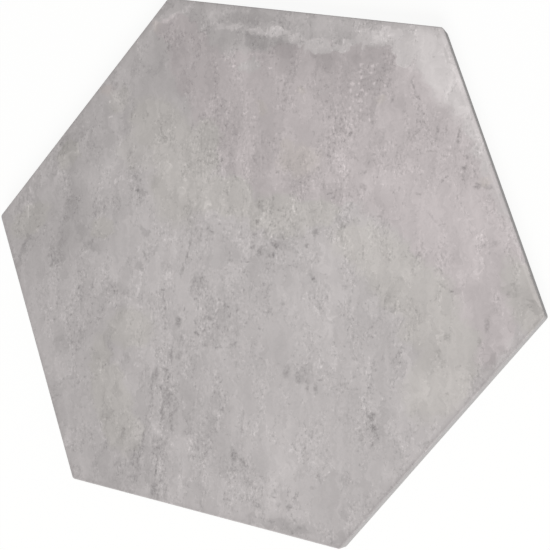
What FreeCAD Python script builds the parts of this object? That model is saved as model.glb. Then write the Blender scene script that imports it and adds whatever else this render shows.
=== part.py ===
"""Hexagon floor tile: one pressed and fired porcelain plate with a printed, matt glazed face.

Frame: millimetres, +Z up. The origin is the middle of the back, on the plane that the tile is bedded on.
The glazed face looks up, +X runs to one of the six corners and +Y to the middle of a side.
"""

import FreeCAD, Part
import math
import os

# The plate
ACROSS_FLATS = 254.0     # between two opposite sides
THICKNESS = 10.0         # from the bedding plane to the glazed face
CORNER_RADIUS = 2.0      # plan rounding of the six corners
ARRIS_RADIUS = 0.6       # rounded edge between the glazed face and the sides
BACK_BEVEL = 0.4         # 45 degree bevel between the sides and the back

# The keyed back: a honeycomb of shallow cells that the adhesive grips
CELL_PITCH = 18.0        # from the middle of one cell to the next
RIB_WIDTH = 3.0          # width of the rib left between two cells, at the bedding plane
KEY_DEPTH = 0.6          # how far a cell's floor lies above the bedding plane
KEY_DRAFT = 0.4          # how far a cell's wall leans in on its way to the floor
BACK_MARGIN = 8.0        # narrowest plain border between the cells and the back's bevel

SIDES = 6
SECTOR = 2.0 * math.pi / SIDES
SAME_HEIGHT = 1e-6


def point(radius, angle, z):
    """A point at a distance from the tile's axis, in a direction and at a height."""
    return FreeCAD.Vector(radius * math.cos(angle), radius * math.sin(angle), z)


def corner_distance(across_flats):
    """From the middle of a regular hexagon to its sharp corners."""
    return across_flats / 2.0 / math.cos(SECTOR / 2.0)


def rounded_outline(z):
    """The tile's outline: six straight sides joined by six tangent arcs."""
    arc_centre = corner_distance(ACROSS_FLATS - 2.0 * CORNER_RADIUS)
    arcs = []
    for number in range(SIDES):
        towards_corner = number * SECTOR
        centre = point(arc_centre, towards_corner, z)
        start, middle, end = (
            centre + point(CORNER_RADIUS, towards_corner + turn * SECTOR / 2.0, 0.0) for turn in (-1, 0, 1)
        )
        arcs.append((start, middle, end))
    edges = []
    for number, (start, middle, end) in enumerate(arcs):
        following_start = arcs[(number + 1) % SIDES][0]
        edges.append(Part.Arc(start, middle, end).toShape())
        edges.append(Part.LineSegment(end, following_start).toShape())
    return Part.Wire(edges)


def edges_at(solid, z):
    """The edges of a solid that lie flat at one height."""
    return [
        edge for edge in solid.Edges
        if abs(edge.BoundBox.ZMin - z) < SAME_HEIGHT and abs(edge.BoundBox.ZMax - z) < SAME_HEIGHT
    ]


def plate():
    """The tile without its keyed back."""
    solid = Part.Face(rounded_outline(0.0)).extrude(FreeCAD.Vector(0.0, 0.0, THICKNESS))
    solid = solid.makeFillet(ARRIS_RADIUS, edges_at(solid, THICKNESS))
    return solid.makeChamfer(BACK_BEVEL, edges_at(solid, 0.0))


def cell_outline(across_flats, z):
    """A key cell's hexagon at one height, turned so that rows of cells run parallel to the tile's sides."""
    corners = [point(corner_distance(across_flats), (number + 0.5) * SECTOR, z) for number in range(SIDES)]
    return Part.makePolygon(corners + corners[:1])


def key_cell():
    """The hollow of one cell about the tile's axis, wider at the bedding plane than at its floor."""
    open_width = CELL_PITCH - RIB_WIDTH
    mouth = cell_outline(open_width, 0.0)
    floor = cell_outline(open_width - 2.0 * KEY_DRAFT, KEY_DEPTH)
    return Part.makeLoft([mouth, floor], True, True)


def cell_centres():
    """Middles of the cells, ring by ring. The middle place stays solid, as the pad that the tile is measured from."""
    row_height = CELL_PITCH * math.sin(SECTOR)
    cell_reach = corner_distance(CELL_PITCH - RIB_WIDTH)
    room = ACROSS_FLATS / 2.0 - BACK_BEVEL - BACK_MARGIN - cell_reach
    rings = int(room / row_height)
    centres = []
    for ring in range(1, rings + 1):
        for side in range(SIDES):
            first = point(ring * CELL_PITCH, side * SECTOR, 0.0)
            step = point(CELL_PITCH, (side + 2) * SECTOR, 0.0)
            centres.extend(first + step * place for place in range(ring))
    return centres


def hexagon_tile():
    """The whole tile, one solid."""
    cell = key_cell()
    return plate().cut([cell.translated(centre) for centre in cell_centres()])


def export(shape, node):
    """Writes one node's file and prints what it holds."""
    solid = shape.Solids[0]
    if len(shape.Solids) != 1 or not solid.isValid():
        raise ValueError(f"{node} is not one valid solid")
    solid.exportStep(f"parts/{node}.step")
    size = solid.BoundBox
    print(f"{node}: {size.XLength:.2f} x {size.YLength:.2f} x {size.ZLength:.2f} mm, {solid.Volume / 1000.0:.1f} cm3")


os.makedirs("parts", exist_ok=True)
export(hexagon_tile(), "hexagon_tile")
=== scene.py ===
"""Looks, light and camera for the hexagon floor tile. Lengths are in millimetres, times MM in metres."""

import math
from collections import namedtuple

import bpy
from mathutils import Matrix, Vector, noise
from mathutils.geometry import delaunay_2d_cdt


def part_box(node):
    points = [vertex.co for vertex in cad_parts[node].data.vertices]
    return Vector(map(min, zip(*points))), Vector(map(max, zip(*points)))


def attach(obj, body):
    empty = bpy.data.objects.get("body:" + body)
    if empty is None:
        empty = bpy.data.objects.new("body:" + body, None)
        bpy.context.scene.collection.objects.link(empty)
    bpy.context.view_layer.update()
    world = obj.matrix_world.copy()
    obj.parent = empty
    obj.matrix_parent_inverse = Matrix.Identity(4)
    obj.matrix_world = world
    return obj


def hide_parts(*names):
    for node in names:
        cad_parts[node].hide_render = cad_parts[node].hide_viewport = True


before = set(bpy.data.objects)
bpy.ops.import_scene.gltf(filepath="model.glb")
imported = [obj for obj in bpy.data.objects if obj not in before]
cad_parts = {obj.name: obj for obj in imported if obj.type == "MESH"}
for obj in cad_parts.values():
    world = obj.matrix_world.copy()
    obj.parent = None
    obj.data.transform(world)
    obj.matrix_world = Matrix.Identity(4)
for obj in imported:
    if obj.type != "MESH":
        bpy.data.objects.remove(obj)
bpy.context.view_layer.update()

MM = 0.001
NODE = "hexagon_tile"
low_corner, high_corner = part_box(NODE)

# The plate, as the frame has it
ACROSS_FLATS = (high_corner.y - low_corner.y) / MM
THICKNESS = (high_corner.z - low_corner.z) / MM
CORNER_RADIUS = 2.0
ARRIS_RADIUS = 0.6
BACK_BEVEL = 0.4

# The keyed back, as the frame has it
CELL_PITCH = 18.0
RIB_WIDTH = 3.0
KEY_DEPTH = 0.6
KEY_DRAFT = 0.4
BACK_MARGIN = 8.0
CELL_CORNER_RADIUS = 1.2
RIB_EDGE = 0.15          # rounding of the ribs, beside the cells

# A cell's section from its rib's rounded edge to its floor: how far in, and how high above the bedding plane
CELL_SECTION = [
    (0.0, RIB_EDGE * 0.7),
    (KEY_DRAFT * 0.7, KEY_DEPTH * 0.75),
    (KEY_DRAFT, KEY_DEPTH * 0.94),
    (KEY_DRAFT + RIB_EDGE * 2.0, KEY_DEPTH),
]

# How finely the piece is modelled
FACE_RINGS = 120         # rings of triangles from the middle of the face to its border
HALF_CORNER_STEPS = 5    # steps from the middle of a corner's arc to its end
ARRIS_STEPS = 6
SIDE_STEPS = 4
CELL_CORNER_STEPS = 3
BORDER_BLEND = 0.15      # share of the face over which its triangles follow the rounded corners
FLAT_INSET = ARRIS_RADIUS * 1.3    # from the sides to the border of the face's triangles
SHARP_ANGLE = 30.0       # degrees between two faces from which their edge looks sharp
SAME_PLACE = 1e-5        # points of the back that are nearer than this are one
MARKS_IN_GROUP = 20      # marks of the print that one group of shader nodes holds

# The shallow unevenness of the glazed face
RELIEF_DEPTH = 0.05
RELIEF_WIDTH = 22.0      # width of its broadest swells
RELIEF_SQUEEZE = 0.6     # under one, so that they are longer along Y than along X
RELIEF_NOISE = (1.0, 2.0, 3)       # its increment, lacunarity and octaves

# The camera, where the photograph was taken from
PICTURE = 550.0          # width and height of the photograph, in pixels
SENSOR = 36.0
LENS = 87.24
EYE_DISTANCE = 667.97    # from the eye to the point of the face that it is turned to
EYE_TILT = 22.13         # degrees between the line of sight and the upright
EYE_AZIMUTH = -1.13      # degrees round from +X
AIM = (-12.84, -17.39)   # that point of the face
PICTURE_TURN = 12.09     # degrees from +Y to the direction on the face that points up in the picture
SHIFT = (0.1, 0.03)

SIDES = 6
SECTOR = 2.0 * math.pi / SIDES


def polar(radius, angle):
    return radius * math.cos(angle), radius * math.sin(angle)


def corner_distance(across_flats):
    """From the middle of a regular hexagon to its sharp corners."""
    return across_flats / 2.0 / math.cos(SECTOR / 2.0)


def camera_axes():
    """The eye's place and its directions to the right, up and forward."""
    tilt, azimuth = math.radians(EYE_TILT), math.radians(EYE_AZIMUTH)
    aim = Vector((*AIM, THICKNESS))
    away = Vector((*polar(math.sin(tilt), azimuth), math.cos(tilt)))
    forward = -away
    turn = math.radians(90.0 + PICTURE_TURN)
    right = forward.cross(Vector((*polar(1.0, turn), 0.0))).normalized()
    return aim + away * EYE_DISTANCE, right, right.cross(forward), forward


def on_face(column, row):
    """The point of the glazed face that the photograph shows at a pixel."""
    eye, right, up, forward = camera_axes()
    per_pixel = SENSOR / LENS / PICTURE
    across = (column - PICTURE * (0.5 - SHIFT[0])) * per_pixel
    down = (row - PICTURE * (0.5 + SHIFT[1])) * per_pixel
    ray = forward + right * across - up * down
    point = eye + ray * ((THICKNESS - eye.z) / ray.z)
    return point.x, point.y


def add_camera():
    eye, right, up, forward = camera_axes()
    data = bpy.data.cameras.new("camera")
    data.sensor_width = SENSOR
    data.lens = LENS
    data.shift_x, data.shift_y = SHIFT
    camera = bpy.data.objects.new("camera", data)
    turn = Matrix((right, up, -forward)).transposed().to_4x4()
    camera.matrix_world = Matrix.Translation(eye * MM) @ turn
    bpy.context.scene.collection.objects.link(camera)
    bpy.context.scene.camera = camera


class Nodes:
    """Adds nodes to a node tree. An input is a number, a tuple or another node's output."""

    def __init__(self, owner):
        if isinstance(owner, bpy.types.NodeTree):
            self.tree = owner
        else:
            owner.use_nodes = True
            self.tree = owner.node_tree
        self.tree.nodes.clear()

    def add(self, kind, inputs, output=0, **settings):
        node = self.tree.nodes.new("ShaderNode" + kind)
        for name, value in settings.items():
            setattr(node, name, value)
        for socket, value in inputs.items():
            if isinstance(value, bpy.types.NodeSocket):
                self.tree.links.new(value, node.inputs[socket])
            else:
                node.inputs[socket].default_value = value
        return node.outputs[output] if len(node.outputs) else node

    def math(self, operation, first, second=0.0, third=0.0):
        return self.add("Math", {0: first, 1: second, 2: third}, operation=operation)

    def plus(self, first, second):
        return self.math("ADD", first, second)

    def times(self, first, second):
        return self.math("MULTIPLY", first, second)

    def vector(self, operation, first, second):
        return self.add("VectorMath", {0: first, 1: second}, operation=operation)

    def cone(self, place, mark):
        """One in the middle of a mark's ellipse, and evenly down to zero at its edge."""
        cone = self.add("TexGradient", {"Vector": place}, output=1, gradient_type="SPHERICAL")
        mapping = cone.node.texture_mapping
        mapping.vector_type = "TEXTURE"
        mapping.translation = (*on_face(mark.column, mark.row), 0.0)
        mapping.rotation = (0.0, 0.0, math.radians(mark.turn + PICTURE_TURN))
        mapping.scale = (mark.along, mark.across, 1.0)
        return cone

    def ramp(self, value, start, end, low=0.0, high=1.0):
        """A soft step: low up to start, high from end."""
        inputs = {"Value": value, "From Min": start, "From Max": end, "To Min": low, "To Max": high}
        return self.add("MapRange", inputs, interpolation_type="SMOOTHSTEP", clamp=False)

    def noise(self, place, size, detail, roughness, output=0, dimensions="2D"):
        """Noise about a half, its largest grains about as wide as size."""
        inputs = {"Vector": place, "Scale": 1.0 / size, "Detail": detail, "Roughness": roughness}
        return self.add("TexNoise", inputs, output, noise_dimensions=dimensions)

    def dark_and_pale(self, value, dark, pale):
        """The sum of two soft steps, one where the value is low and one where it is high."""
        return self.plus(self.ramp(value, *dark), self.ramp(value, *pale))

    def mix(self, factor, first, second):
        return self.add("Mix", {0: factor, 6: first, 7: second}, output=2, data_type="RGBA")

    def toned(self, colour, tone):
        """A colour made brighter or darker by a number of grey levels."""
        brightness = self.math("EXPONENT", self.times(tone, LEVEL_GAIN))
        return self.add("VectorMath", {0: colour, "Scale": brightness}, operation="SCALE")

    def upright(self, place, stretch):
        """The place in the picture's own directions, squeezed so that a pattern on it is taller than wide."""
        turn = (0.0, 0.0, math.radians(PICTURE_TURN))
        inputs = {"Vector": place, "Rotation": turn, "Scale": (1.0, stretch, 1.0)}
        return self.add("Mapping", inputs, vector_type="TEXTURE")

    def inset(self, place, side):
        """How far in from a side of the tile a place lies. The side is given by its direction in degrees."""
        direction = (*polar(1.0, math.radians(side)), 0.0)
        reach = self.add("VectorMath", {0: place, 1: direction}, output=1, operation="DOT_PRODUCT")
        return self.math("SUBTRACT", ACROSS_FLATS / 2.0, reach)

    def border(self, place):
        """Painted shade along all six sides, a paler band just inside the right side, and painted shade just
        inside the lower right side.
        """
        insets = {side: self.inset(place, side) for side in SIDE_DIRECTIONS}
        nearest, *others = insets.values()
        for inset in others:
            nearest = self.math("MINIMUM", nearest, inset)
        # painted shade along all six sides
        tone = self.ramp(nearest, *PAINTED_EDGE_SHADE)
        tone = self.plus(tone, self.ramp(insets[RIGHT_SIDE], *RIGHT_EDGE))
        # painted shade just inside the lower right side
        return self.plus(tone, self.ramp(insets[LOWER_RIGHT_SIDE], *LOWER_RIGHT_PAINTED_SHADE))

    def wander(self, place, size, reach):
        """The place, moved about by noise in every direction."""
        way = self.vector("SUBTRACT", self.noise(place, size, *WANDER_NOISE, output=1), (0.5, 0.5, 0.5))
        step = self.vector("MULTIPLY", way, (reach / NOISE_SPREAD, reach / NOISE_SPREAD, 0.0))
        return self.vector("ADD", place, step)

    def marks(self, place, layer, total=0.0):
        """Adds a layer of marks to a value."""
        for first in range(0, len(layer.marks), MARKS_IN_GROUP):
            group = marks_group(layer.marks[first:first + MARKS_IN_GROUP], layer.core, layer.strength)
            total = self.add("Group", {"Place": place, "Total": total}, node_tree=group)
        return total


def marks_group(marks, core, strength):
    """A node group that adds a few marks to a total, each flat in its core and fading to its edge."""
    tree = bpy.data.node_groups.new("marks", "ShaderNodeTree")
    tree.interface.new_socket("Place", in_out="INPUT", socket_type="NodeSocketVector")
    tree.interface.new_socket("Total", in_out="INPUT", socket_type="NodeSocketFloat")
    tree.interface.new_socket("Total", in_out="OUTPUT", socket_type="NodeSocketFloat")
    n = Nodes(tree)
    entry = tree.nodes.new("NodeGroupInput")
    place, total = entry.outputs["Place"], entry.outputs["Total"]
    for mark in marks:
        cone = n.cone(place, mark)
        if core > 0.0:
            cone = n.math("MINIMUM", cone, 1.0 - core)
        total = n.math("MULTIPLY_ADD", cone, mark.level * strength / (1.0 - core), total)
    leave = tree.nodes.new("NodeGroupOutput")
    tree.links.new(total, leave.inputs["Total"])
    return tree


# A mark on the face: its middle, by the photograph's pixel, the half lengths of its two axes in millimetres,
# the turn of its long axis in degrees from the picture's horizontal, and what it adds: grey levels of 255,
# or a share in the layers that say where something lies
Mark = namedtuple("Mark", "column row along across turn level")

# Marks of one kind, with the share of each that is flat before it fades, and what multiplies their levels
Layer = namedtuple("Layer", "core strength marks")

# Broad changes of tone
DRIFT = Layer(core=0.0, strength=1.6, marks=[
    Mark(60, 210, 75, 45, 60, -9),        # darker left corner
    Mark(170, 60, 75, 40, 55, -9),        # darker upper left
    Mark(255, 40, 40, 12, -8, -7),        # darkest under the upper side
    Mark(90, 420, 80, 38, 100, -7),       # lower left
    Mark(85, 315, 34, 26, 80, -6), Mark(180, 395, 26, 20, 80, -4), Mark(215, 135, 26, 18, 60, -6),
    Mark(105, 172, 16, 14, 0, 6), Mark(190, 240, 22, 14, 0, 4),
    Mark(440, 80, 50, 24, -62, 6),        # palest by the right upper corner
    Mark(375, 180, 15, 14, 0, 6), Mark(480, 205, 14, 10, -70, 4),
    Mark(470, 230, 70, 40, -65, 7),       # pale right side
    Mark(435, 300, 30, 22, -60, 6), Mark(330, 250, 60, 45, 60, 5), Mark(268, 320, 22, 16, 70, 4),
    Mark(280, 450, 50, 22, 90, 4), Mark(385, 465, 16, 10, 50, 3), Mark(450, 390, 45, 30, 50, 4),
    Mark(525, 300, 22, 14, 80, -6),       # darker right corner
    Mark(505, 275, 20, 10, -70, -5),
    Mark(84, 108, 66, 9, 54, -5),         # the upper left side
    Mark(250, 13, 20, 7, -8, -5),
    Mark(462, 80, 24, 4, -70, 5),         # just inside the right side
    Mark(300, 530, 26, 6, -15, -6),       # the bottom side, towards its two corners
    Mark(120, 482, 26, 6, -15, -5), Mark(352, 530, 7, 5, 20, -2),
    Mark(325, 52, 36, 10, -5, -5),        # under the pale crust
    Mark(400, 230, 90, 60, 80, 2), Mark(375, 140, 34, 28, 80, 3), Mark(404, 82, 12, 5, 84, 3),
    Mark(419, 84, 14, 4.5, 76, -5), Mark(202, 40, 14, 9, 0, 3), Mark(163, 40, 12, 8, 60, -4),
    Mark(108, 160, 28, 13, 86, 5),        # a paler band down the left
    Mark(492, 262, 22, 8, 88, -5), Mark(212, 412, 22, 16, 86, -3), Mark(335, 72, 26, 9, 0, -2),
    Mark(110, 300, 18, 12, 90, -4), Mark(115, 385, 14, 12, 90, -2), Mark(232, 112, 26, 6, 86, -3),
    Mark(258, 120, 26, 6, 86, 3), Mark(182, 72, 16, 5, 82, 3), Mark(325, 440, 60, 42, 60, 3),
    Mark(300, 515, 26, 10, -10, 2), Mark(72, 226, 18, 9, 80, -4), Mark(255, 160, 14, 8, 86, -2),
    Mark(305, 118, 22, 17, 86, 2), Mark(444, 378, 20, 16, 55, 2), Mark(453, 92, 20, 8, -68, 4),
])

# Dark stains with a ragged edge
STAINS = Layer(core=0.75, strength=1.3, marks=[
    Mark(250, 18, 18, 4, -5, -7), Mark(285, 25, 8, 3, -5, -6), Mark(256, 40, 7, 4, 0, -8),
    Mark(180, 45, 12, 9, 0, -3), Mark(166, 7, 6, 2.6, 40, -9), Mark(159, 15, 4, 2.4, 50, -6),
    Mark(157, 65, 8, 5, 50, -4), Mark(285, 48, 8, 6, 0, -5), Mark(322, 62, 12, 3.5, 0, -3),
    Mark(371, 110, 9, 1.8, 84, -6), Mark(377, 140, 6, 3, 60, -3), Mark(369, 165, 6, 2, 85, -4),
    Mark(310, 56, 4, 2, 0, -5), Mark(350, 58, 7, 3.4, 0, -2), Mark(266, 42, 12, 4.5, -6, -4),
    Mark(385, 66, 6, 5, 90, -3), Mark(378, 66, 14, 8.5, 85, -6), Mark(70, 210, 7, 4.2, 75, -3),
    Mark(66, 230, 11, 5, 84, -2), Mark(58, 246, 10, 4.4, 78, -3), Mark(58, 252, 7, 5, 60, -6),
    Mark(68, 205, 4, 3.5, 0, -6), Mark(92, 246, 5.5, 3, -20, -8), Mark(80, 233, 5.5, 2.2, 86, -6),
    Mark(70, 142, 9, 5, 50, -10), Mark(75, 162, 6, 3, 90, -5), Mark(52, 177, 5, 2.5, 60, -5),
    Mark(26, 240, 5, 1.8, 80, -11), Mark(23, 252, 5, 1.6, 74, -10), Mark(19, 263, 3, 2, 60, -8),
    Mark(144, 232, 2.8, 2.3, 0, -10), Mark(140, 266, 4, 2.4, 82, -11), Mark(145, 254, 2.4, 1.2, 90, -9),
    Mark(115, 290, 9, 4, 0, -5), Mark(120, 312, 7, 6, 60, -4), Mark(108, 342, 11, 2.6, 86, -8),
    Mark(112, 365, 7, 2.6, -60, -6), Mark(117, 388, 5, 2.8, 90, -6), Mark(107, 415, 9, 1.2, 85, -5),
    Mark(60, 345, 7, 4.5, 90, -5), Mark(95, 355, 6, 3, 0, -3), Mark(215, 320, 15, 12, 60, -3),
    Mark(197, 286, 8.5, 4, 75, -6), Mark(156, 376, 5, 3, 80, -6), Mark(118, 445, 6, 3.5, 60, -5),
    Mark(136, 455, 8, 4, 80, -3), Mark(177, 332, 15, 2.6, 86, -5), Mark(307, 375, 5, 4.8, 0, -8),
    Mark(381, 430, 4, 3, 0, -5), Mark(275, 524, 20, 2.5, -12, -8), Mark(337, 539, 4, 1.6, 50, -6),
    Mark(344, 512, 5, 1.8, 85, -6), Mark(266, 196, 9, 6, 90, -3), Mark(286, 248, 7, 3, -20, -5),
    Mark(330, 190, 5, 4, 90, -6), Mark(388, 300, 7, 4, 70, -4), Mark(142, 194, 3.2, 3, 0, -8),
    Mark(157, 182, 3, 2.6, 0, -5), Mark(460, 289, 3.5, 2.2, -5, -6), Mark(490, 243, 6, 2, 5, -4),
    Mark(510, 290, 6, 4, -20, -5), Mark(534, 309, 5, 2, -68, -12), Mark(495, 358, 9, 3, 45, -6),
    Mark(409, 390, 4, 3.2, -60, -5), Mark(232, 160, 8, 3, 80, -4),
])

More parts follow.
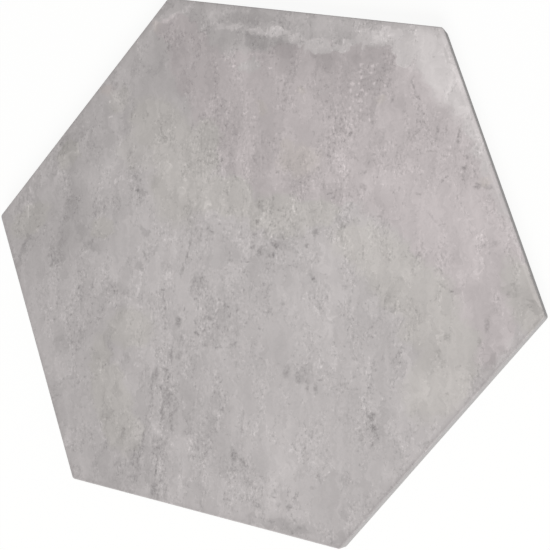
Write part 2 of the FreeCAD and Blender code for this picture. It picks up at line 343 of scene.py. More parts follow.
# Small dark marks: ragged spots, dashes and short streaks
SPOTS = Layer(core=0.3, strength=1.6, marks=[
    Mark(383, 68, 1.5, 1.3, 0, -10), Mark(390, 80, 1.6, 1.3, 60, -10), Mark(376, 95, 1.8, 1.2, 0, -10),
    Mark(393, 100, 1.8, 1.2, 60, -10), Mark(253, 45, 1, 0.9, 0, -12), Mark(260, 37, 1, 0.9, 0, -11),
    Mark(302, 87, 1.5, 1, 0, -13), Mark(325, 86, 1, 0.9, 0, -11), Mark(326, 102, 1.1, 0.9, 60, -10),
    Mark(318, 113, 1.1, 0.8, 90, -10), Mark(314, 133, 1.4, 0.8, 90, -11), Mark(333, 133, 2.5, 0.8, 90, -13),
    Mark(341, 130, 1.2, 0.8, 90, -11), Mark(350, 134, 2, 1.3, 90, -18), Mark(356, 127, 1.2, 0.8, 60, -10),
    Mark(327, 138, 1.1, 0.9, 0, -10), Mark(331, 155, 1.3, 0.9, 60, -11), Mark(318, 168, 1.2, 0.9, 0, -9),
    Mark(373, 155, 1.2, 1, 0, -11), Mark(369, 163, 1.3, 0.9, 60, -11), Mark(366, 171, 1.3, 0.9, 60, -11),
    Mark(373, 123, 3, 0.8, 90, -9), Mark(413, 85, 4, 0.8, -75, -12), Mark(418, 97, 3, 0.8, -60, -12),
    Mark(419, 107, 2.8, 0.8, 75, -11), Mark(437, 131, 3.2, 0.8, 75, -12), Mark(446, 130, 3.2, 0.7, 90, -10),
    Mark(459, 137, 6.2, 1.1, 80, -16), Mark(432, 151, 3.8, 0.8, -5, -8), Mark(467, 157, 1, 0.9, 0, -12),
    Mark(464, 168, 1.8, 1.3, 0, -18), Mark(463, 179, 1, 0.9, 0, -12), Mark(477, 186, 2.6, 1.8, 20, -20),
    Mark(488, 187, 4, 1.6, -15, -9), Mark(446, 177, 1.2, 0.9, 0, -11), Mark(418, 194, 1.8, 0.8, -20, -12),
    Mark(434, 57, 1.2, 0.9, 0, -9), Mark(205, 115, 1.4, 0.9, 90, -9), Mark(227, 126, 4, 0.8, 90, -9),
    Mark(222, 160, 1.4, 1.1, 0, -16), Mark(213, 140, 1.4, 0.9, 90, -9), Mark(192, 127, 4, 0.9, 80, -9),
    Mark(262, 139, 5.5, 0.8, 90, -9), Mark(280, 140, 1.4, 0.9, 60, -8), Mark(263, 158, 1.3, 0.9, 90, -9),
    Mark(237, 178, 3, 1, -50, -9), Mark(277, 172, 1, 0.9, 0, -12), Mark(75, 142, 2.6, 1.6, 50, -9),
    Mark(58, 155, 3, 0.8, 80, -9), Mark(77, 198, 1.2, 1, 0, -12), Mark(66, 210, 2.6, 1.4, 60, -4),
    Mark(62, 235, 4, 1.2, 90, -5), Mark(57, 262, 2, 1, 45, -9), Mark(132, 168, 2.4, 1, -10, -14),
    Mark(135, 178, 2.4, 0.8, 90, -9), Mark(131, 187, 4, 0.8, -60, -11), Mark(138, 190, 1.4, 1.2, 0, -16),
    Mark(142, 201, 3.5, 1, 0, -8), Mark(207, 229, 1.2, 0.8, 0, -16), Mark(211, 231, 1.4, 0.9, -30, -11),
    Mark(79, 287, 1.4, 1.3, 0, -15), Mark(92, 286, 2.2, 0.7, 90, -12), Mark(82, 296, 1.6, 0.9, -10, -12),
    Mark(71, 305, 0.9, 0.9, 0, -15), Mark(71, 315, 0.9, 0.9, 0, -13), Mark(92, 303, 1.1, 0.8, 0, -11),
    Mark(98, 318, 1.1, 0.8, 0, -10), Mark(163, 290, 0.9, 0.9, 0, -14), Mark(160, 294, 0.8, 0.8, 0, -12),
    Mark(184, 309, 1, 1, 0, -13), Mark(163, 233, 1.4, 1.2, 45, -9), Mark(115, 291, 1.8, 1.1, 0, -11),
    Mark(85, 377, 0.9, 0.9, 0, -12), Mark(78, 348, 3, 1.2, 0, -8), Mark(55, 318, 2, 1.6, 0, -7),
    Mark(190, 243, 4, 1, 75, -13), Mark(187, 256, 4.5, 1, 75, -13), Mark(182, 271, 5, 1.1, 78, -14),
    Mark(201, 279, 5.5, 1.6, 75, -8), Mark(194, 280, 3, 1.6, 20, -8), Mark(196, 333, 1.8, 1.6, -20, -19),
    Mark(204, 331, 1.2, 0.9, 0, -14), Mark(210, 319, 1.6, 1.4, 0, -12), Mark(226, 304, 2.8, 1, -60, -10),
    Mark(218, 299, 2, 0.9, -20, -11), Mark(236, 310, 1.8, 0.9, 45, -9), Mark(229, 317, 1.6, 1, -30, -10),
    Mark(233, 344, 3, 1.2, 10, -9), Mark(205, 345, 1.6, 1.2, 0, -10), Mark(216, 348, 1.8, 1, -20, -9),
    Mark(195, 322, 1.4, 1, 0, -13), Mark(246, 323, 0.9, 0.9, 0, -12), Mark(178, 322, 4, 1.6, 90, -13),
    Mark(182, 338, 5, 1.4, 80, -9), Mark(179, 356, 3, 2, 60, -10), Mark(170, 354, 3, 1.2, 80, -14),
    Mark(169, 376, 4, 1.3, 80, -14), Mark(161, 387, 2.5, 1.5, 80, -13), Mark(167, 394, 8, 3.2, 88, -10),
    Mark(162, 414, 7, 1.4, 88, -10), Mark(171, 418, 5, 1.5, 88, -9), Mark(172, 430, 3.5, 1.3, 90, -11),
    Mark(156, 374, 4, 1.6, 75, -8), Mark(152, 397, 4, 1.3, 85, -8), Mark(134, 454, 7, 1.3, 80, -8),
    Mark(138, 460, 6, 1.3, 86, -9), Mark(141, 447, 5, 1.2, 80, -7), Mark(123, 432, 5, 1.3, 85, -11),
    Mark(117, 462, 5, 1.2, 50, -9), Mark(130, 464, 4, 1.2, 80, -7), Mark(154, 489, 5.2, 2.5, 80, -14),
    Mark(158, 495, 3.4, 1, 80, -12), Mark(156, 470, 9, 0.8, 84, -10), Mark(156, 469, 4, 0.8, 85, -11),
    Mark(166, 492, 4, 1.4, 76, -8), Mark(146, 420, 9, 0.8, 82, -5), Mark(143, 440, 8, 0.9, 82, -5),
    Mark(157, 362, 10, 0.8, 86, -7), Mark(152, 384, 8, 0.9, 82, -9), Mark(172, 350, 9, 1.0, 84, -9),
    Mark(166, 372, 8, 1.0, 80, -10), Mark(175, 398, 10, 0.9, 86, -8), Mark(103, 405, 12, 0.8, 86, -6),
    Mark(234, 456, 4.5, 2.2, -85, -17), Mark(243, 462, 3.5, 1.3, -60, -13), Mark(233, 470, 3, 1.5, 0, -12),
    Mark(248, 482, 4, 2.4, -60, -6), Mark(257, 505, 4.5, 1.8, -45, -14), Mark(289, 507, 2.4, 1.8, 60, -16),
    Mark(278, 505, 1.5, 1.2, 90, -9), Mark(274, 497, 0.9, 0.9, 0, -15), Mark(241, 499, 1.5, 1.2, 0, -10),
    Mark(287, 371, 4.5, 2.6, 70, -11), Mark(297, 377, 4.5, 1.8, -70, -10),
    Mark(307, 389, 2.2, 1.4, 90, -12), Mark(316, 389, 3.5, 1.2, -85, -14),
    Mark(320, 380, 2.5, 0.9, 15, -11), Mark(330, 374, 3, 1.2, -20, -7), Mark(372, 416, 2.6, 2, 60, -16),
    Mark(374, 428, 2.4, 2, -45, -20), Mark(360, 440, 1.6, 1, 0, -14), Mark(377, 436, 1.6, 0.8, 90, -12),
    Mark(311, 437, 1.8, 1.6, 0, -9), Mark(319, 476, 1.3, 1.1, -45, -15), Mark(312, 488, 1.6, 1.4, 0, -7),
    Mark(348, 415, 6, 0.9, 90, -6), Mark(359, 465, 0.9, 0.7, 0, -13), Mark(289, 404, 0.7, 0.7, 0, -15),
    Mark(243, 417, 4, 1.1, 85, -9), Mark(242, 430, 2.5, 0.9, 85, -10), Mark(270, 521, 3, 1.2, -15, -9),
    Mark(294, 521, 2.5, 1.2, 45, -8), Mark(427, 443, 2.4, 1.2, 45, -9), Mark(252, 247, 2.4, 1.3, 20, -12),
    Mark(260, 251, 3.2, 2, 75, -15), Mark(275, 245, 3.4, 1.6, -60, -17), Mark(271, 255, 3, 1.8, 20, -12),
    Mark(248, 262, 1.1, 0.8, -20, -14), Mark(290, 265, 2.2, 0.7, -20, -12),
    Mark(245, 272, 0.9, 0.7, 0, -12), Mark(265, 232, 1.2, 1.1, 0, -17), Mark(257, 222, 2.2, 0.9, -85, -15),
    Mark(227, 193, 1.2, 1.1, 30, -16), Mark(283, 208, 1.1, 0.9, 0, -17), Mark(273, 197, 2.2, 0.8, -80, -14),
    Mark(260, 206, 4, 1.8, -75, -8), Mark(272, 208, 4, 1.6, 80, -8), Mark(313, 278, 3, 1.4, -60, -21),
    Mark(316, 232, 3.2, 2, 45, -13), Mark(307, 246, 1.6, 1.2, 20, -17), Mark(302, 237, 2.2, 1.2, 60, -8),
    Mark(329, 194, 1.5, 0.9, 10, -18), Mark(343, 227, 2, 0.8, 45, -11), Mark(363, 187, 2.6, 1.6, -60, -9),
    Mark(360, 194, 2, 0.9, 0, -9), Mark(345, 287, 2, 1.8, 0, -9), Mark(349, 303, 5, 1.6, 90, -6),
    Mark(388, 298, 3.2, 2.2, 80, -9), Mark(392, 311, 3.5, 1.6, 30, -8), Mark(320, 337, 1.4, 1.2, 30, -11),
    Mark(260, 329, 1.7, 0.9, -10, -15), Mark(267, 291, 3.6, 0.7, 85, -8), Mark(283, 304, 2.4, 1.6, 60, -9),
    Mark(269, 311, 2.6, 1.8, 60, -8), Mark(422, 245, 3.4, 0.8, 90, -10), Mark(418, 255, 2.2, 1.8, 60, -15),
    Mark(431, 216, 3.5, 0.8, -60, -9), Mark(436, 222, 1.2, 1.2, 0, -8), Mark(471, 232, 4.5, 0.6, -75, -7),
    Mark(442, 285, 4.2, 0.9, -38, -8), Mark(452, 291, 1.4, 0.9, 15, -19),
    Mark(447, 337, 3.5, 1.8, -60, -11), Mark(487, 325, 4.5, 1.6, 85, -11), Mark(480, 342, 2.6, 1.6, 80, -9),
    Mark(402, 348, 0.9, 0.8, 0, -13), Mark(439, 352, 2, 1.4, -20, -9), Mark(372, 337, 1, 0.9, 0, -11),
    Mark(369, 388, 2.6, 1, -60, -10), Mark(383, 357, 3, 0.8, 90, -9), Mark(447, 394, 1.4, 1.2, 20, -9),
    Mark(466, 381, 1.8, 1, 20, -8), Mark(513, 285, 1.2, 1, 0, -10), Mark(508, 294, 1.4, 1.2, 60, -9),
    Mark(498, 300, 2, 0.8, 0, -8),
])

# Pale stretches, crusts and lines
PALE = Layer(core=0.4, strength=1.7, marks=[
    Mark(157, 26, 5, 1.6, 30, 9), Mark(171, 18, 6, 1.6, 28, 12), Mark(186, 11, 6, 1.5, 24, 10),
    Mark(212, 15, 7, 4.5, 0, 6), Mark(214, 25, 8, 2, -5, 5), Mark(318, 46, 9, 3, -8, 3),
    Mark(345, 49, 6, 1.6, 0, 4), Mark(382, 36, 5, 4, 0, 6), Mark(463, 116, 5, 4, -60, 4),
    Mark(248, 67, 6, 3.6, -10, 4), Mark(239, 80, 3.4, 0.9, -25, 7), Mark(280, 85, 6, 4.5, 90, 4),
    Mark(294, 108, 3.6, 0.8, 20, 7), Mark(304, 98, 4, 0.8, 60, 7), Mark(168, 166, 4.2, 2.6, 80, 6),
    Mark(119, 180, 3.6, 1.4, 20, 9), Mark(186, 180, 2.4, 1.8, 0, 8), Mark(183, 188, 2, 1.2, 0, 7),
    Mark(205, 178, 3, 2.4, 60, 6), Mark(208, 200, 9, 1.4, -88, 7), Mark(300, 150, 3, 3, 0, 4),
    Mark(120, 142, 2, 1.6, 45, 9), Mark(117, 153, 1.6, 1, 20, 10), Mark(111, 151, 6, 0.8, 0, 5),
    Mark(32, 192, 2.4, 1.6, 60, 9), Mark(28, 206, 3.4, 1.8, 60, 9), Mark(26, 213, 2, 1.4, 0, 6),
    Mark(62, 169, 5, 3.5, 90, 4), Mark(167, 276, 3.2, 2.6, 60, 7), Mark(170, 283, 1.6, 1.4, 0, 6),
    Mark(168, 305, 3, 0.9, 90, 7), Mark(197, 295, 2.6, 1.4, -30, 7), Mark(139, 305, 3, 2.4, -45, 7),
    Mark(175, 240, 9, 0.9, 88, 6), Mark(126, 220, 4, 2.8, 60, 4), Mark(333, 317, 2, 1.2, 10, 6),
    Mark(328, 330, 6, 4, 90, 3), Mark(477, 271, 3.4, 1.4, 15, 5), Mark(459, 257, 5, 0.9, -88, 4),
    Mark(474, 258, 2.4, 0.9, 90, 4), Mark(434, 299, 3.2, 0.8, 85, 5), Mark(487, 204, 2, 1.5, 90, 6),
    Mark(459, 222, 2.8, 1.4, 90, 5), Mark(441, 336, 6, 1, 90, 5), Mark(134, 189, 4.5, 0.8, 90, 6),
    Mark(140, 250, 8, 0.8, 84, 7), Mark(139, 276, 4, 0.9, 84, 7), Mark(138, 288, 7, 0.9, 80, 5),
    Mark(155, 432, 6, 4, 60, 5), Mark(300, 335, 7, 4, 60, 3), Mark(350, 240, 8, 6.5, 60, 1.5),
])

# White dots
DOTS = Layer(core=0.4, strength=1.4, marks=[
    Mark(110, 102, 1.2, 1, 0, 18), Mark(111, 117, 1.9, 1.1, 0, 14), Mark(233, 66, 0.9, 0.8, 0, 14),
    Mark(270, 68, 0.9, 0.8, 0, 12), Mark(245, 113, 0.8, 0.7, 0, 12), Mark(254, 117, 0.8, 0.7, 0, 12),
    Mark(237, 127, 0.8, 0.7, 0, 12), Mark(202, 122, 0.7, 0.7, 0, 12), Mark(361, 65, 1.5, 1.1, 90, 15),
    Mark(361, 71, 1.2, 1.1, 0, 13), Mark(362, 77, 1.3, 1.1, 0, 15), Mark(360, 84, 1.2, 1, 0, 14),
    Mark(362, 90, 1.2, 1.1, 0, 14), Mark(372, 66, 1.5, 1.3, 0, 16), Mark(378, 64, 1.1, 0.9, 0, 12),
    Mark(371, 73, 1.1, 1, 0, 10), Mark(374, 83, 1.3, 1, 0, 11), Mark(352, 84, 1.4, 1.1, 90, 13),
    Mark(350, 91, 1.3, 1.1, 0, 13), Mark(357, 94, 1.2, 1, 0, 13), Mark(366, 94, 1.2, 1, 0, 12),
    Mark(360, 101, 1.6, 1, 0, 13), Mark(353, 101, 1.2, 1, 0, 11), Mark(346, 97, 1.2, 1, 0, 11),
    Mark(350, 108, 1.3, 1, 90, 12), Mark(361, 110, 1.2, 1, 90, 11), Mark(357, 117, 1.2, 0.9, 90, 10),
    Mark(352, 124, 1.1, 0.9, 90, 10), Mark(370, 120, 1.2, 0.9, 90, 10), Mark(366, 105, 1.1, 0.9, 90, 10),
    Mark(384, 86, 1.4, 1, 0, 10), Mark(382, 94, 1.2, 1, 0, 9),
])

# The pale crust along the upper side and round the right upper corner
SHORE = Layer(core=0.85, strength=1.0, marks=[
    Mark(232, 27, 9, 1.6, 6, 1), Mark(268, 32.5, 12, 1.9, -5, 1), Mark(297, 38, 5.5, 3, -40, 1),
    Mark(315, 45, 8.5, 3.9, 0, 1), Mark(326, 50, 3.4, 3.2, 90, 1), Mark(345, 45.5, 9.5, 2.9, 8, 1),
    Mark(367, 37, 8, 4.6, 15, 1), Mark(387, 37, 8, 5.5, -20, 1), Mark(404, 50, 7, 6, -60, 1),
    Mark(405, 60, 4.6, 3.4, 0, 1),
])

# Where that crust fades out softly, in the corner and down the right side
SOFT_SHORE = Layer(core=0.4, strength=1.0, marks=[
    Mark(425, 45, 18, 13.5, -10, 1), Mark(433, 70, 12, 8, -50, 1), Mark(452, 85, 27, 11, -68, 1),
    Mark(481, 150, 24, 5.5, -70, 1),
])

# Where fine specks are thick, and where the print is calm
SPECKLED = Layer(core=0.0, strength=1.0, marks=[
    Mark(168, 390, 26, 5, 88, 0.9), Mark(202, 305, 24, 4.5, 86, 0.9), Mark(155, 480, 16, 4, 86, 0.9),
    Mark(143, 430, 20, 3, 86, 0.4), Mark(186, 258, 14, 3, 80, 0.5), Mark(232, 465, 14, 5, 80, 0.5),
    Mark(262, 130, 24, 5, 88, 0.5), Mark(425, 120, 26, 5, 80, 0.6), Mark(64, 370, 16, 5, 85, 0.6),
    Mark(222, 130, 26, 14, 90, 0.7), Mark(340, 125, 26, 20, 80, 0.9), Mark(345, 170, 30, 10, 88, 0.9),
    Mark(375, 75, 10, 12, 0, 0.2), Mark(335, 75, 12, 10, 0, 0.6), Mark(450, 150, 22, 16, -60, 0.5),
    Mark(446, 78, 28, 13, -66, -1.2), Mark(165, 370, 32, 9, 88, 0.8), Mark(160, 450, 24, 11, 86, 0.8),
    Mark(205, 450, 26, 9, 86, 1.0), Mark(205, 395, 14, 8, 86, 0.6), Mark(215, 320, 20, 16, 60, 0.8),
    Mark(160, 310, 20, 8, 86, 0.7), Mark(205, 165, 18, 12, 88, 1.1), Mark(205, 235, 18, 10, 86, 0.6),
    Mark(265, 235, 22, 14, 60, 0.9), Mark(250, 175, 18, 9, 86, 0.9), Mark(295, 200, 24, 10, 86, 1.0),
    Mark(335, 215, 12, 10, 86, 0.7), Mark(385, 310, 24, 14, 70, 0.4), Mark(240, 480, 18, 12, -50, 0.7),
    Mark(150, 455, 20, 10, 70, 0.6), Mark(70, 300, 20, 12, 80, 0.7), Mark(68, 205, 16, 10, 60, 0.3),
    Mark(365, 425, 16, 12, 60, 0.5), Mark(308, 374, 8, 7, 0, -0.7), Mark(275, 335, 22, 16, 0, -0.5),
    Mark(278, 478, 16, 8, 86, -0.5), Mark(130, 180, 14, 10, 60, 0.5), Mark(155, 88, 26, 20, 80, -0.7),
    Mark(385, 208, 16, 12, 0, -0.6), Mark(478, 215, 24, 12, -70, -0.5), Mark(475, 262, 18, 16, 0, -0.7),
    Mark(480, 300, 18, 18, 0, -1.0), Mark(522, 300, 16, 12, 80, -0.5), Mark(435, 345, 24, 16, 0, -0.8),
    Mark(440, 215, 26, 10, 86, -0.9), Mark(430, 290, 16, 12, 60, -0.4), Mark(93, 168, 26, 5, 88, -0.7),
    Mark(170, 250, 16, 5, 88, -0.6), Mark(432, 405, 26, 18, 60, -0.7), Mark(340, 342, 16, 12, 0, -0.4),
    Mark(300, 470, 16, 14, 90, -0.8), Mark(342, 475, 16, 13, 90, -0.6), Mark(250, 385, 18, 12, 90, -0.3),
    Mark(115, 330, 26, 10, 86, -0.3), Mark(226, 252, 14, 10, 0, -0.6), Mark(305, 285, 20, 16, 0, -0.5),
    Mark(176, 250, 12, 8, 0, -0.4), Mark(370, 215, 16, 10, 0, -0.4),
])

# Where the print leans to pink, to beige and to orange
PINK = Layer(core=0.8, strength=1.0, marks=[
    Mark(300, 125, 64, 34, 0, 1), Mark(248, 67, 7.5, 4.5, -8, -2), Mark(305, 68, 50, 14, -4, 1),
    Mark(390, 85, 24, 18, -50, 1), Mark(285, 185, 20, 10, 0, 1), Mark(336, 190, 15, 8, 0, 1),
    Mark(410, 160, 48, 36, -40, 1), Mark(460, 240, 50, 26, -60, 1), Mark(488, 315, 26, 14, 82, 1),
    Mark(500, 262, 14, 10, -70, 1), Mark(215, 78, 24, 14, 0, 1), Mark(178, 30, 13, 8, -10, 1),
    Mark(195, 62, 18, 15, -60, 1), Mark(212, 105, 14, 12, -50, 1), Mark(240, 150, 14, 10, -50, 1),
])
BEIGE = Layer(core=0.7, strength=1.0, marks=[
    Mark(158, 122, 20, 14, -30, 1), Mark(206, 146, 17, 9, 84, 1), Mark(120, 100, 10, 7, 50, 0.7),
    Mark(183, 175, 30, 20, 80, 1), Mark(225, 195, 16, 12, 0, 1), Mark(140, 150, 14, 12, 0, 0.6),
    Mark(238, 200, 12, 9, 90, 1), Mark(280, 215, 22, 12, -8, 1), Mark(320, 212, 12, 8, 0, 1),
    Mark(372, 250, 25, 13, -25, 1), Mark(412, 290, 30, 17, -32, 1), Mark(440, 335, 22, 10, -5, 1),
    Mark(441, 378, 26, 17, 55, 1), Mark(527, 300, 24, 10, -68, 1), Mark(30, 220, 15, 9, 30, 1),
    Mark(68, 155, 9, 7, 50, 1), Mark(102, 228, 7, 6, 0, 1), Mark(130, 328, 16, 12, 0, 1),
    Mark(99, 366, 20, 6.5, 84, 1), Mark(110, 392, 17, 8, 70, 1), Mark(118, 418, 17, 10, 78, 1),
    Mark(130, 436, 12, 7, 75, 0.8),
])
ORANGE = Layer(core=0.5, strength=1.0, marks=[
    Mark(300, 160, 13, 10, 0, 1.2), Mark(285, 145, 4, 4, 0, 1), Mark(262, 107, 4, 4, 0, 1),
    Mark(301, 91, 4, 3, 0, 1), Mark(380, 98, 4, 3, 0, 1), Mark(485, 183, 4, 3, 0, 1),
    Mark(108, 90, 5, 4, 0, 1), Mark(155, 28, 4, 3, 0, 1),
])

# Noise: how wide its largest grains are, its detail and its roughness
Grain = namedtuple("Grain", "size detail roughness")
NOISE_SPREAD = 0.2       # most noise lies within this of its middle, a half

# A soft step: the two values between which it runs, and what it gives before and after
Step = namedtuple("Step", "start end low high")

# How noise moves places about, to give what is drawn there a ragged edge: over what length, and how far
Wander = namedtuple("Wander", "size reach")
CLOUDED = Wander(30.0, 5.0)
TORN = Wander(7.0, 1.6)
CHIPPED = Wander(1.6, 0.6)
FRAYED = Wander(2.0, 0.5)
WANDER_NOISE = (2.0, 0.5)    # its detail and roughness

# The print's noise, from the broadest to the finest
CLOUDS = Grain(36.0, 5.0, 0.55)
PATCHES = Grain(12.0, 4.0, 0.55)
CLUMPS = Grain(9.0, 3.0, 0.6)
WISPS = Grain(7.0, 3.0, 0.6)
ISLETS = Grain(5.0, 5.0, 0.65)
STREAKS = Grain(4.0, 3.0, 0.6)
MOTTLE = Grain(3.0, 3.0, 0.6)
SPECKS = Grain(1.3, 2.0, 0.6)
BREAKS = Grain(1.2, 2.0, 0.6)
GRIT = Grain(0.9, 1.0, 0.5)

# How much taller than wide its grains are
FINE_STRETCH = 1.6
FLAKE_STRETCH = 2.2
CLUMP_STRETCH = 3.0
STREAK_STRETCH = 7.0

# What it adds, in grey levels
CLOUD_TONE = Step(0.46, 0.54, -2.4, 2.4)
PATCH_TONE = Step(0.475, 0.5, -1.8, 1.6)
STREAK_TONE = Step(0.42, 0.58, -2.0, 2.0)
MOTTLE_TONE = Step(0.36, 0.44, -2.4, 0.3)
WISP_TONE = Step(0.56, 0.66, 0.0, 4.0)
DARK_ISLETS = Step(0.44, 0.42, 0.0, -6.0)
PALE_ISLETS = Step(0.57, 0.59, 0.0, 4.5)
DARK_SPECKS = Step(0.41, 0.36, 0.0, -13.5)
PALE_SPECKS = Step(0.61, 0.66, 0.0, 10.5)
DARK_GRIT = Step(0.33, 0.28, 0.0, -12.0)
PALE_GRIT = Step(0.67, 0.73, 0.0, 8.0)
LEVEL_GAIN = 0.0125      # the share by which one level brightens a colour

# How it breaks up the marks, as shares of their levels
STAIN_BREAKS = Step(0.58, 0.42, 0.85, 1.1)
CRUST_BREAKS = Step(0.4, 0.56, 0.45, 1.2)
SPOT_BREAKS = Step(0.36, 0.6, 0.5, 1.35)

# How thick the fine specks lie
CLUMP_SHARE = Step(0.47, 0.64, 0.12, 0.9)
PATCH_RIM = 0.49         # the noise's value at the rims of the patches
RIM_SHARE = Step(0.035, 0.005, 0.0, 0.8)
LEAST_BUSY = 0.05
MOST_BUSY = 1.25
GRIT_EVERYWHERE = 0.15   # share of the grit that lies in calm places too

# Tone of the pale crust; and near the sides, by the millimetres from them, painted shade and a paler band
SHORE_TONE = 12.0
SIDE_DIRECTIONS = (30, 90, 150, 210, 270, 330)
RIGHT_SIDE = 30
LOWER_RIGHT_SIDE = 330
# painted shade along all six sides, where the arris turns away from the light
PAINTED_EDGE_SHADE = Step(0.3, 3.2, -7.0, 0.0)
RIGHT_EDGE = Step(2.8, 1.6, 0.0, 12.0)
# painted shade just inside the lower right side, which keeps its lit arris no brighter than the side
LOWER_RIGHT_PAINTED_SHADE = Step(1.8, 0.7, 0.0, -6.0)

# The print's colours at middle tone
NEUTRAL_GREY = (0.4445, 0.418, 0.416, 1.0)
PINK_GREY = (0.4515, 0.4125, 0.4145, 1.0)
BEIGE_GREY = (0.4475, 0.4232, 0.4085, 1.0)
ORANGE_GREY = (0.4555, 0.4165, 0.4055, 1.0)

# The glaze over it
GLAZE_SHINE = 0.25       # a matt glaze mirrors half as much as glass
GLAZE_ROUGHNESS = Step(0.3, 0.7, 0.62, 0.72)
GLAZE_GRAIN = Grain(1.6, 2.0, 0.5)
GLAZE_RELIEF = 0.02      # depth of its grain
GLAZE_BUMP = 0.4

# The bare body, the glaze that runs over its upper edge, and the wash that kept it off the kiln's rollers
BODY = (0.44, 0.424, 0.419, 1.0)
SKIRT_GREY = (0.425, 0.41, 0.406, 1.0)
KILN_WASH = (0.56, 0.545, 0.53, 1.0)
SKIRT = 1.8              # how far down the sides the glaze runs
SKIRT_DRIP = 2.0         # how unevenly it ends
SKIRT_FADE = 0.3         # over what height its end fades
WASH_REACH = 0.35        # how far up the ribs the wash goes
WASH_PATCHES = Step(0.38, 0.56, 0.35, 1.0)
BODY_GRAIN = Grain(0.8, 3.0, 0.7)
BODY_CLOUDS = Grain(9.0, 4.0, 0.6)
BODY_GRAIN_TONE = 14.0   # grey levels for the noise's whole range
BODY_CLOUD_TONE = 16.0
BODY_PITS = Step(0.36, 0.28, 0.0, -12.0)
BODY_ROUGHNESS = 0.85
SKIRT_ROUGHNESS = 0.6
BODY_RELIEF = 0.08       # depth of the body's grain
BODY_BUMP = 0.5


def placed_tone(n, place, cloudy, torn, mottle):
    """Tone of the marks that are listed one by one."""
    frayed = n.wander(place, *FRAYED)
    tone = n.marks(cloudy, DRIFT)
    tone = n.plus(tone, n.times(n.marks(torn, STAINS), n.ramp(mottle, *STAIN_BREAKS)))
    tone = n.plus(tone, n.times(n.marks(torn, PALE), n.ramp(mottle, *CRUST_BREAKS)))
    tone = n.marks(frayed, DOTS, tone)
    breaks = n.ramp(n.noise(place, *BREAKS), *SPOT_BREAKS)
    return n.plus(tone, n.times(n.marks(frayed, SPOTS), breaks))


def broad_tone(n, torn, flaky, patches, mottle):
    """Tone of the clouds, patches, streaks and wisps that cover the whole face."""
    tone = n.ramp(n.noise(flaky, *CLOUDS), *CLOUD_TONE)
    tone = n.plus(tone, n.ramp(patches, *PATCH_TONE))
    tone = n.plus(tone, n.ramp(n.noise(n.upright(torn, STREAK_STRETCH), *STREAKS), *STREAK_TONE))
    tone = n.plus(tone, n.ramp(mottle, *MOTTLE_TONE))
    return n.plus(tone, n.ramp(n.noise(flaky, *WISPS), *WISP_TONE))


def busy_share(n, cloudy, patches):
    """How thick the fine specks lie: in clumps, along the rims of the patches, and as the marks say."""
    clumps = n.noise(n.upright(cloudy, CLUMP_STRETCH), *CLUMPS)
    from_rim = n.math("ABSOLUTE", n.math("SUBTRACT", patches, PATCH_RIM))
    busy = n.plus(n.ramp(clumps, *CLUMP_SHARE), n.ramp(from_rim, *RIM_SHARE))
    busy = n.math("MAXIMUM", n.marks(cloudy, SPECKLED, busy), LEAST_BUSY)
    return n.math("MINIMUM", busy, MOST_BUSY)


def fine_tone(n, place, flaky, busy):
    """Tone of the islets, specks and grit, which gather where the print is busy."""
    upright = n.upright(place, FINE_STRETCH)
    islets = n.dark_and_pale(n.noise(flaky, *ISLETS), DARK_ISLETS, PALE_ISLETS)
    specks = n.dark_and_pale(n.noise(upright, *SPECKS), DARK_SPECKS, PALE_SPECKS)
    grit = n.dark_and_pale(n.noise(upright, *GRIT), DARK_GRIT, PALE_GRIT)
    tone = n.times(n.plus(specks, islets), busy)
    return n.plus(tone, n.times(grit, n.plus(busy, GRIT_EVERYWHERE)))


def print_colour(n, torn, shore):
    """The print's colour at middle tone. The pale crust never leans to pink."""
    pink = n.math("MINIMUM", n.marks(torn, PINK), n.math("SUBTRACT", 1.0, shore))
    beige = n.math("MINIMUM", n.marks(torn, BEIGE), 1.0)
    colour = n.mix(pink, NEUTRAL_GREY, PINK_GREY)
    colour = n.mix(beige, colour, BEIGE_GREY)
    return n.mix(n.marks(torn, ORANGE), colour, ORANGE_GREY)


def printed_glaze():
    """The face: a concrete look printed under a matt glaze."""
    material = bpy.data.materials.new("printed_glaze")
    n = Nodes(material)
    coordinates = n.add("TexCoord", {}, output=3)
    place = n.vector("MULTIPLY", coordinates, (1.0 / MM, 1.0 / MM, 0.0))
    cloudy = n.wander(place, *CLOUDED)
    torn = n.wander(n.wander(place, *TORN), *CHIPPED)
    flaky = n.upright(torn, FLAKE_STRETCH)
    mottle = n.noise(n.upright(torn, FINE_STRETCH), *MOTTLE)
    patches = n.noise(flaky, *PATCHES)
    shore = n.math("MINIMUM", n.marks(torn, SOFT_SHORE, n.marks(torn, SHORE)), 1.0)

    tone = placed_tone(n, place, cloudy, torn, mottle)
    tone = n.plus(tone, broad_tone(n, torn, flaky, patches, mottle))
    tone = n.plus(tone, fine_tone(n, place, flaky, busy_share(n, cloudy, patches)))
    tone = n.plus(tone, n.times(shore, SHORE_TONE))
    # painted shade along the sides, and a paler band just inside the right side
    tone = n.plus(tone, n.border(place))

    grain = n.noise(place, *GLAZE_GRAIN)
    bump = n.add("Bump", {"Height": grain, "Strength": GLAZE_BUMP, "Distance": GLAZE_RELIEF * MM})
    look = {
        "Base Color": n.toned(print_colour(n, torn, shore), tone),
        "Roughness": n.ramp(mottle, *GLAZE_ROUGHNESS),
        "Specular IOR Level": GLAZE_SHINE,
        "Normal": bump,
    }
    n.add("OutputMaterial", {"Surface": n.add("BsdfPrincipled", look)})
    return material


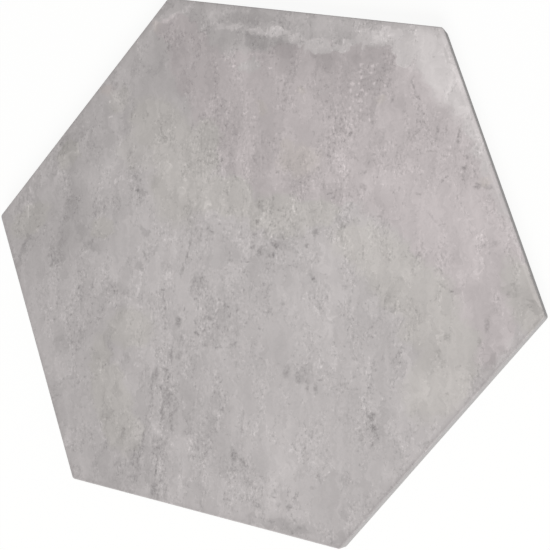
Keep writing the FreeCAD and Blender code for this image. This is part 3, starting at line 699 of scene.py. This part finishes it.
def fired_body():
    """The sides and the back: the bare body, with a skirt of glaze at the top and kiln wash on the ribs."""
    material = bpy.data.materials.new("fired_body")
    n = Nodes(material)
    coordinates = n.add("TexCoord", {}, output=3)
    place = n.vector("MULTIPLY", coordinates, (1.0 / MM, 1.0 / MM, 1.0 / MM))
    height = n.add("SeparateXYZ", {"Vector": place}, output=2)
    grain = n.noise(place, *BODY_GRAIN, dimensions="3D")
    clouds = n.noise(place, *BODY_CLOUDS, dimensions="3D")

    tone = n.times(n.math("SUBTRACT", clouds, 0.5), BODY_CLOUD_TONE)
    tone = n.plus(tone, n.times(n.math("SUBTRACT", grain, 0.5), BODY_GRAIN_TONE))
    tone = n.plus(tone, n.ramp(grain, *BODY_PITS))

    drip = n.math("MULTIPLY_ADD", clouds, SKIRT_DRIP, height)
    skirt_end = THICKNESS - SKIRT + SKIRT_DRIP / 2.0
    skirt = n.ramp(drip, skirt_end, skirt_end + SKIRT_FADE)
    wash = n.times(n.ramp(height, WASH_REACH, 0.0), n.ramp(clouds, *WASH_PATCHES))
    colour = n.mix(skirt, BODY, SKIRT_GREY)
    colour = n.mix(wash, colour, KILN_WASH)

    bump = n.add("Bump", {"Height": grain, "Strength": BODY_BUMP, "Distance": BODY_RELIEF * MM})
    look = {
        "Base Color": n.toned(colour, tone),
        "Roughness": n.ramp(skirt, 0.0, 1.0, BODY_ROUGHNESS, SKIRT_ROUGHNESS),
        "Normal": bump,
    }
    n.add("OutputMaterial", {"Surface": n.add("BsdfPrincipled", look)})
    return material


def border_point(inset, step, steps):
    """A point of the tile's outline, moved in by an inset. Each side has its steps, from corner to corner."""
    side, place = divmod(step, steps)
    corner = side * SECTOR
    arc_centre = corner_distance(ACROSS_FLATS - 2.0 * CORNER_RADIUS)
    radius = CORNER_RADIUS - inset
    half_turn = SECTOR / 2.0

    def on_arc(towards, turn):
        centre = polar(arc_centre, towards)
        spoke = polar(radius, towards + turn)
        return Vector((centre[0] + spoke[0], centre[1] + spoke[1]))

    if place < HALF_CORNER_STEPS:
        return on_arc(corner, half_turn * place / HALF_CORNER_STEPS)
    if steps - place < HALF_CORNER_STEPS:
        return on_arc(corner + SECTOR, -half_turn * (steps - place) / HALF_CORNER_STEPS)
    share = (place - HALF_CORNER_STEPS) / (steps - 2.0 * HALF_CORNER_STEPS)
    return on_arc(corner, half_turn).lerp(on_arc(corner + SECTOR, -half_turn), share)


def face_point(ring, step, inset):
    """A point of the face's triangular grid, which follows the rounded corners near the border."""
    if ring == 0:
        return Vector((0.0, 0.0))
    side, place = divmod(step, ring)
    sharp = corner_distance(ACROSS_FLATS - 2.0 * inset)
    start, end = Vector(polar(sharp, side * SECTOR)), Vector(polar(sharp, (side + 1) * SECTOR))
    straight = start.lerp(end, place / ring)
    rounded = border_point(inset, (side + place / ring) * FACE_RINGS, FACE_RINGS)
    reach = ring / FACE_RINGS
    blend = max(0.0, (reach - 1.0 + BORDER_BLEND) / BORDER_BLEND)
    return straight.lerp(rounded, blend * blend * (3.0 - 2.0 * blend)) * reach


class Shape:
    """Points and faces of the piece, each face with the number of its material."""

    def __init__(self):
        self.points, self.faces, self.materials = [], [], []

    def ring(self, places, z):
        """Adds points at one height and returns their numbers."""
        first = len(self.points)
        self.points.extend((x, y, z) for x, y in places)
        return list(range(first, len(self.points)))

    def face(self, numbers, material):
        self.faces.append(tuple(numbers))
        self.materials.append(material)

    def band(self, upper, lower, material):
        """Joins two rings of as many points, the first one above or inside the second."""
        for here in range(len(upper)):
            following = (here + 1) % len(upper)
            self.face((upper[here], lower[here], lower[following], upper[following]), material)


def add_face(shape, inset, material):
    """The flat of the face, a grid of triangles in rings. Returns its border's points."""
    rings = []
    for ring in range(FACE_RINGS + 1):
        count = max(1, SIDES * ring)
        rings.append(shape.ring((face_point(ring, step, inset) for step in range(count)), THICKNESS))
    for ring in range(FACE_RINGS):
        inner, outer = rings[ring], rings[ring + 1]
        for side in range(SIDES):
            for step in range(ring + 1):
                near = inner[(side * ring + step) % len(inner)]
                far = side * (ring + 1) + step
                first, second = outer[far], outer[(far + 1) % len(outer)]
                shape.face((near, first, second), material)
                if step < ring:
                    shape.face((near, second, inner[(side * ring + step + 1) % len(inner)]), material)
    return rings[-1]


def cell_centres():
    """Middles of the key cells, ring by ring, with none in the middle of the tile."""
    row_height = CELL_PITCH * math.sin(SECTOR)
    cell_reach = corner_distance(CELL_PITCH - RIB_WIDTH)
    rings = int((ACROSS_FLATS / 2.0 - BACK_BEVEL - BACK_MARGIN - cell_reach) / row_height)
    for ring in range(1, rings + 1):
        for side in range(SIDES):
            first = Vector(polar(ring * CELL_PITCH, side * SECTOR))
            step = Vector(polar(CELL_PITCH, (side + 2) * SECTOR))
            for place in range(ring):
                yield first + step * place


def cell_outline(centre, inset):
    """A key cell's hexagon with rounded corners, moved in by an inset."""
    arc_centre = corner_distance(CELL_PITCH - RIB_WIDTH - 2.0 * CELL_CORNER_RADIUS)
    for side in range(SIDES):
        towards = (side + 0.5) * SECTOR
        middle = centre + Vector(polar(arc_centre, towards))
        for step in range(CELL_CORNER_STEPS + 1):
            turn = (step / CELL_CORNER_STEPS - 0.5) * SECTOR
            yield middle + Vector(polar(CELL_CORNER_RADIUS - inset, towards + turn))


def add_back(shape, border, material):
    """The back: ribs on the bedding plane, and the cells between them."""
    outlines = [border]
    for centre in cell_centres():
        mouth = shape.ring(cell_outline(centre, -RIB_EDGE), 0.0)
        outlines.append(mouth)
        previous = mouth
        for inset, z in CELL_SECTION:
            following = shape.ring(cell_outline(centre, inset), z)
            shape.band(following, previous, material)
            previous = following
        middle = shape.ring([centre], KEY_DEPTH)[0]
        for here in range(len(previous)):
            shape.face((previous[here], previous[(here + 1) % len(previous)], middle)[::-1], material)
    numbers = [number for outline in outlines for number in outline]
    flat = [Vector(shape.points[number][:2]) for number in numbers]
    loops, first = [], 0
    for outline in outlines:
        loops.append(list(range(first, first + len(outline))))
        first += len(outline)
    points, _, faces, sources, _, owners = delaunay_2d_cdt(flat, [], loops, 0, SAME_PLACE)
    place = {here: numbers[source[0]] for here, source in enumerate(sources) if source}
    for triangle, owner in zip(faces, owners):
        if owner == [0]:
            shape.face([place[here] for here in reversed(triangle)], material)


def tile_shape():
    """The whole tile, from the middle of its face to the middle of its back."""
    shape = Shape()
    glaze, body = 0, 1
    steps = SIDES * FACE_RINGS

    def outline(inset, z):
        return shape.ring((border_point(inset, step, FACE_RINGS) for step in range(steps)), z)

    previous = add_face(shape, FLAT_INSET, glaze)
    for step in range(ARRIS_STEPS + 1):
        angle = math.pi / 2.0 * step / ARRIS_STEPS
        drop, run = ARRIS_RADIUS * (1.0 - math.cos(angle)), ARRIS_RADIUS * math.sin(angle)
        following = outline(ARRIS_RADIUS - run, THICKNESS - drop)
        shape.band(previous, following, glaze)
        previous = following
    side_height = THICKNESS - ARRIS_RADIUS - BACK_BEVEL
    for step in range(1, SIDE_STEPS + 1):
        following = outline(0.0, THICKNESS - ARRIS_RADIUS - side_height * step / SIDE_STEPS)
        shape.band(previous, following, body)
        previous = following
    border = outline(BACK_BEVEL, 0.0)
    shape.band(previous, border, body)
    add_back(shape, border, body)
    return shape


def uneven(x, y, z):
    """A point's height, with the face's shallow unevenness, which fades out down the arris."""
    weight = max(0.0, (z - THICKNESS + ARRIS_RADIUS) / ARRIS_RADIUS)
    swell = noise.fractal(Vector((x, y * RELIEF_SQUEEZE, 0.0)) / RELIEF_WIDTH, *RELIEF_NOISE)
    return z - weight * RELIEF_DEPTH * (0.5 + 0.5 * max(-1.0, min(1.0, swell)))


def add_tile():
    shape = tile_shape()
    mesh = bpy.data.meshes.new("glazed_tile")
    mesh.from_pydata([(x * MM, y * MM, uneven(x, y, z) * MM) for x, y, z in shape.points], [], shape.faces)
    mesh.materials.append(printed_glaze())
    mesh.materials.append(fired_body())
    mesh.polygons.foreach_set("material_index", shape.materials)
    mesh.shade_smooth()
    mesh.set_sharp_from_angle(angle=math.radians(SHARP_ANGLE))
    mesh.validate()
    tile = bpy.data.objects.new("glazed_tile", mesh)
    bpy.context.scene.collection.objects.link(tile)
    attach(tile, "root")
    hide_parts(NODE)


# The set
FLOOR_WIDTH = 8000.0
FLOOR_LAP = 0.32         # how far the floor reaches in under the tile's sides, short of its flat back
FLOOR_GREY = (0.5, 0.5, 0.5, 1.0)            # what it throws back on the tile
FLOOR_SHOWN = (0.95, 0.95, 0.945, 1.0)       # and how it looks in the picture
WHITE = (1.0, 1.0, 0.995, 1.0)
LIGHT_DISTANCE = 4000.0
LIGHT_WIDTH = 2150.0
KEY_TILT = 52.0          # degrees off the upright
KEY_AZIMUTH = -66.0      # degrees round from +X
KEY_POWER = 132.0        # watts
BACK_TILT = 125.0        # the light on the back comes up through the floor's hole
BACK_AZIMUTH = 120.0
BACK_POWER = 60.0
SKY = 0.55               # the soft light from all round
SHOWN_WHITE = 0.9        # share of plain white in the floor that the picture shows


def sees_background(n):
    """One for the rays that show the background: camera, glossy and transmission rays."""
    path = n.tree.nodes.new("ShaderNodeLightPath")
    straight = n.math("MAXIMUM", path.outputs["Is Camera Ray"], path.outputs["Is Glossy Ray"])
    return n.math("MAXIMUM", straight, path.outputs["Is Transmission Ray"])


def add_floor():
    """A floor with a hole under the tile, which shows only from below and lets light reach the back."""
    hole, outside = corner_distance(ACROSS_FLATS - 2.0 * FLOOR_LAP), FLOOR_WIDTH / 2.0
    rims = [polar(radius * MM, side * SECTOR) for radius in (hole, outside) for side in range(SIDES)]
    faces = [(side, side + SIDES, (side + 1) % SIDES + SIDES, (side + 1) % SIDES) for side in range(SIDES)]
    mesh = bpy.data.meshes.new("floor")
    mesh.from_pydata([(x, y, 0.0) for x, y in rims], [], faces)
    material = bpy.data.materials.new("floor")
    n = Nodes(material)
    shown = sees_background(n)
    paint = n.add("BsdfDiffuse", {"Color": n.mix(shown, FLOOR_GREY, FLOOR_SHOWN)})
    white = n.add("Emission", {"Color": WHITE, "Strength": 1.0})
    surface = n.add("MixShader", {0: n.times(shown, SHOWN_WHITE), 1: paint, 2: white})
    n.add("OutputMaterial", {"Surface": surface})
    mesh.materials.append(material)
    floor = bpy.data.objects.new("floor", mesh)
    bpy.context.scene.collection.objects.link(floor)


def add_area_light(name, tilt, azimuth, power):
    """A square light turned to the tile, in a direction seen from there."""
    tilt, azimuth = math.radians(tilt), math.radians(azimuth)
    direction = Vector((*polar(math.sin(tilt), azimuth), math.cos(tilt)))
    data = bpy.data.lights.new(name, "AREA")
    data.size = LIGHT_WIDTH * MM
    data.energy = power
    light = bpy.data.objects.new(name, data)
    light.location = direction * LIGHT_DISTANCE * MM
    light.rotation_euler = direction.to_track_quat("Z", "Y").to_euler()
    bpy.context.scene.collection.objects.link(light)


def add_lights():
    add_area_light("key", KEY_TILT, KEY_AZIMUTH, KEY_POWER)
    add_area_light("back", BACK_TILT, BACK_AZIMUTH, BACK_POWER)
    world = bpy.data.worlds.new("world")
    n = Nodes(world)
    strength = n.ramp(sees_background(n), 0.0, 1.0, SKY, 1.0)
    background = n.add("Background", {"Color": WHITE, "Strength": strength})
    n.add("OutputWorld", {"Surface": background})
    bpy.context.scene.world = world


add_camera()
add_tile()
add_floor()
add_lights()
bpy.context.scene.view_settings.view_transform = "Standard"
